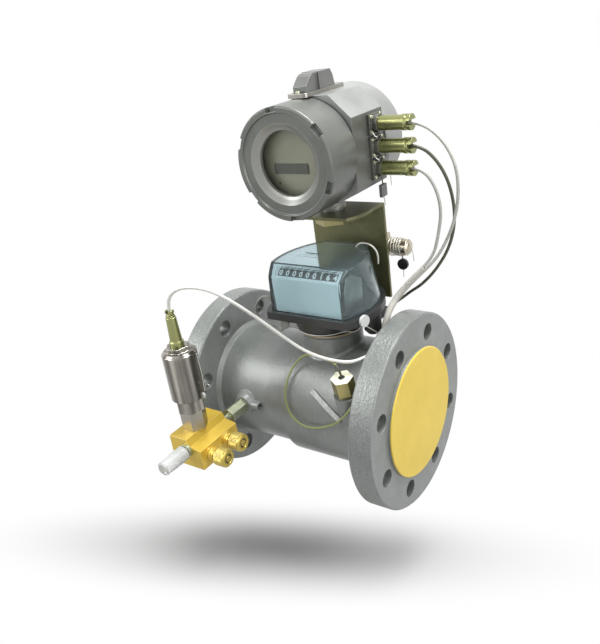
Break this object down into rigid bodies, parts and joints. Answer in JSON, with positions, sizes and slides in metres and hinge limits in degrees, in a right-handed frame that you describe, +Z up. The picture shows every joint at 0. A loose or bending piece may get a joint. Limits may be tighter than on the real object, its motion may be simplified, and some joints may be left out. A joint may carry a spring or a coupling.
{
  "type": "turbine gas meter",
  "caption": "Flanged turbine gas meter with a drum index, a round volume corrector on a bracket, a pressure sensor on a valve block and a temperature fitting.",
  "frame": {"origin": "centre of the inlet raised face, on the pipe axis", "axes": "+X along the pipe with the flow, -Y out of the front with the number wheels and the display, +Z up through the neck"},
  "size_m": [0.276, 0.289, 0.4268],
  "materials": {
    "grey_paint": "even mid-grey enamel with a light orange-peel, rougher on the flange rims",
    "yellow_plastic": "matt yellow moulding",
    "light_alloy": "machined, dull",
    "turned_alloy": "machined and polished",
    "steel": "machined, lightly brushed",
    "black_plastic": "smooth black moulding",
    "clear_blue_plastic": "clear blue-grey moulding",
    "pale_plate": "smooth pale lacquer",
    "yellow_zinc": "yellow-green chromated zinc, worn at the edges",
    "cast_alloy": "fine sand-cast silver-grey finish",
    "window_glass": "clear and polished",
    "brass": "machined, bright",
    "dark_steel": "dark oxidised steel",
    "gold_zinc": "greenish gold passivated zinc",
    "olive_zinc": "olive passivated zinc",
    "white_plastic": "soft translucent white",
    "white_lead": "smooth white sheath",
    "olive_lead": "smooth olive sheath",
    "pale_sleeve": "ribbed pale grey sleeve",
    "black_wheel": "black drum with white digits"
  },
  "bodies": {
    "meter": {"meter_body": "grey_paint", "flow_straightener": "light_alloy", "rotor_bearings": "steel", "measuring_sleeve": "light_alloy", "separating_cup": "steel", "index_frame": "steel", "index_base": "black_plastic", "index_cover": "clear_blue_plastic", "index_faceplate": "pale_plate", "neck_ring": "steel", "pulse_connector": "black_plastic", "bracket": "yellow_zinc", "bracket_bolts": "steel", "corrector_housing": "cast_alloy", "display_plate": "pale_plate", "foot_nut": "brass", "service_plate": "steel", "plug_sockets": "dark_steel", "plug_barrels": "gold_zinc", "plug_nuts": "gold_zinc", "valve_block": "brass", "tapping_nipple": "olive_zinc", "test_nipple": "brass", "sensor_adapter": "steel", "pressure_sensor": "steel", "sensor_plug": "gold_zinc", "temperature_gland": "brass", "temperature_probe": "steel", "back_connector": "gold_zinc", "wire_seals": "black_plastic", "pressure_lead": "white_lead", "temperature_lead": "olive_lead", "pulse_lead": "olive_lead", "plug_lead_top": "white_lead", "plug_lead_bottom": "white_lead", "lead_sleeve": "pale_sleeve"},
    "rotor": {"turbine_rotor": "turned_alloy", "rotor_shaft": "steel"},
    "transfer": {"transfer_shaft": "steel"},
    "input": {"input_shaft": "steel"},
    "counter": {"counter_shaft": "steel"},
    "front_cover_body": {"front_cover": "cast_alloy", "window_glass": "window_glass"},
    "rear_cover_body": {"rear_cover": "cast_alloy"},
    "knob_1": {"valve_knob_1": "steel"},
    "knob_2": {"valve_knob_2": "steel"},
    "cap": {"test_cap": "white_plastic"},
    "inlet_plate": {"inlet_cover": "yellow_plastic"},
    "outlet_plate": {"outlet_cover": "yellow_plastic"},
    "hood": {"service_cap": "cast_alloy"},
    "number_1": {"number_wheel_1": "black_wheel"},
    "number_2": {"number_wheel_2": "black_wheel"},
    "number_3": {"number_wheel_3": "black_wheel"},
    "number_4": {"number_wheel_4": "black_wheel"},
    "number_5": {"number_wheel_5": "black_wheel"},
    "number_6": {"number_wheel_6": "black_wheel"},
    "number_7": {"number_wheel_7": "black_wheel"},
    "number_8": {"number_wheel_8": "black_wheel"},
    "number_9": {"number_wheel_9": "black_wheel"}
  },
  "joints": [
    {"name": "rotor_spin", "type": "hinge", "parent": "meter", "child": "rotor", "pos_m": [0.104, 0, 0], "axis": [1, 0, 0], "continuous": true},
    {"name": "transfer_spin", "type": "hinge", "parent": "meter", "child": "transfer", "pos_m": [0.147, -0.0115, 0.03], "axis": [0, 0, 1], "continuous": true},
    {"name": "input_spin", "type": "hinge", "parent": "meter", "child": "input", "pos_m": [0.147, -0.0115, 0.1], "axis": [0, 0, 1], "continuous": true},
    {"name": "counter_spin", "type": "hinge", "parent": "meter", "child": "counter", "pos_m": [0.147, -0.023, 0.1225], "axis": [1, 0, 0], "continuous": true},
    {"name": "number_1_spin", "type": "hinge", "parent": "meter", "child": "number_1", "pos_m": [0.147, -0.023, 0.1415], "axis": [1, 0, 0], "continuous": true},
    {"name": "number_2_spin", "type": "hinge", "parent": "meter", "child": "number_2", "pos_m": [0.147, -0.023, 0.1415], "axis": [1, 0, 0], "continuous": true},
    {"name": "number_3_spin", "type": "hinge", "parent": "meter", "child": "number_3", "pos_m": [0.147, -0.023, 0.1415], "axis": [1, 0, 0], "continuous": true},
    {"name": "number_4_spin", "type": "hinge", "parent": "meter", "child": "number_4", "pos_m": [0.147, -0.023, 0.1415], "axis": [1, 0, 0], "continuous": true},
    {"name": "number_5_spin", "type": "hinge", "parent": "meter", "child": "number_5", "pos_m": [0.147, -0.023, 0.1415], "axis": [1, 0, 0], "continuous": true},
    {"name": "number_6_spin", "type": "hinge", "parent": "meter", "child": "number_6", "pos_m": [0.147, -0.023, 0.1415], "axis": [1, 0, 0], "continuous": true},
    {"name": "number_7_spin", "type": "hinge", "parent": "meter", "child": "number_7", "pos_m": [0.147, -0.023, 0.1415], "axis": [1, 0, 0], "continuous": true},
    {"name": "number_8_spin", "type": "hinge", "parent": "meter", "child": "number_8", "pos_m": [0.147, -0.023, 0.1415], "axis": [1, 0, 0], "continuous": true},
    {"name": "number_9_spin", "type": "hinge", "parent": "meter", "child": "number_9", "pos_m": [0.147, -0.023, 0.1415], "axis": [1, 0, 0], "continuous": true},
    {"name": "front_cover_turn", "type": "hinge", "parent": "meter", "child": "front_cover_body", "pos_m": [0.1473, -0.02, 0.2572], "axis": [0, -1, 0], "continuous": true},
    {"name": "rear_cover_turn", "type": "hinge", "parent": "meter", "child": "rear_cover_body", "pos_m": [0.1473, 0.07, 0.2572], "axis": [0, 1, 0], "continuous": true},
    {"name": "valve_knob_1_turn", "type": "hinge", "parent": "meter", "child": "knob_1", "pos_m": [0.09, -0.1415, -0.0015], "axis": [1, 0, 0], "range_deg": [0, 720]},
    {"name": "valve_knob_2_turn", "type": "hinge", "parent": "meter", "child": "knob_2", "pos_m": [0.09, -0.1175, 0.001], "axis": [1, 0, 0], "range_deg": [0, 720]},
    {"name": "test_cap_pull", "type": "slide", "parent": "meter", "child": "cap", "axis": [0, -1, 0], "range_m": [0, 0.03]},
    {"name": "inlet_cover_pull", "type": "slide", "parent": "meter", "child": "inlet_plate", "axis": [-1, 0, 0], "range_m": [0, 0.05]},
    {"name": "outlet_cover_pull", "type": "slide", "parent": "meter", "child": "outlet_plate", "axis": [1, 0, 0], "range_m": [0, 0.05]},
    {"name": "service_cap_pull", "type": "slide", "parent": "meter", "child": "hood", "axis": [0, 0, 1], "range_m": [0, 0.03]}
  ],
  "couplings": [
    {"joint": "transfer_spin", "follows": "rotor_spin", "ratio": 0.05},
    {"joint": "input_spin", "follows": "rotor_spin", "ratio": 0.05},
    {"joint": "counter_spin", "follows": "rotor_spin", "ratio": -0.0025},
    {"joint": "number_1_spin", "follows": "rotor_spin", "ratio": 0.0025},
    {"joint": "number_2_spin", "follows": "rotor_spin", "ratio": 0.00025},
    {"joint": "number_3_spin", "follows": "rotor_spin", "ratio": 0.000025},
    {"joint": "number_4_spin", "follows": "rotor_spin", "ratio": 0.0000025},
    {"joint": "number_5_spin", "follows": "rotor_spin", "ratio": 0.00000025},
    {"joint": "number_6_spin", "follows": "rotor_spin", "ratio": 0.000000025},
    {"joint": "number_7_spin", "follows": "rotor_spin", "ratio": 0.0000000025},
    {"joint": "number_8_spin", "follows": "rotor_spin", "ratio": 0.00000000025},
    {"joint": "number_9_spin", "follows": "rotor_spin", "ratio": 0.000000000025}
  ]
}
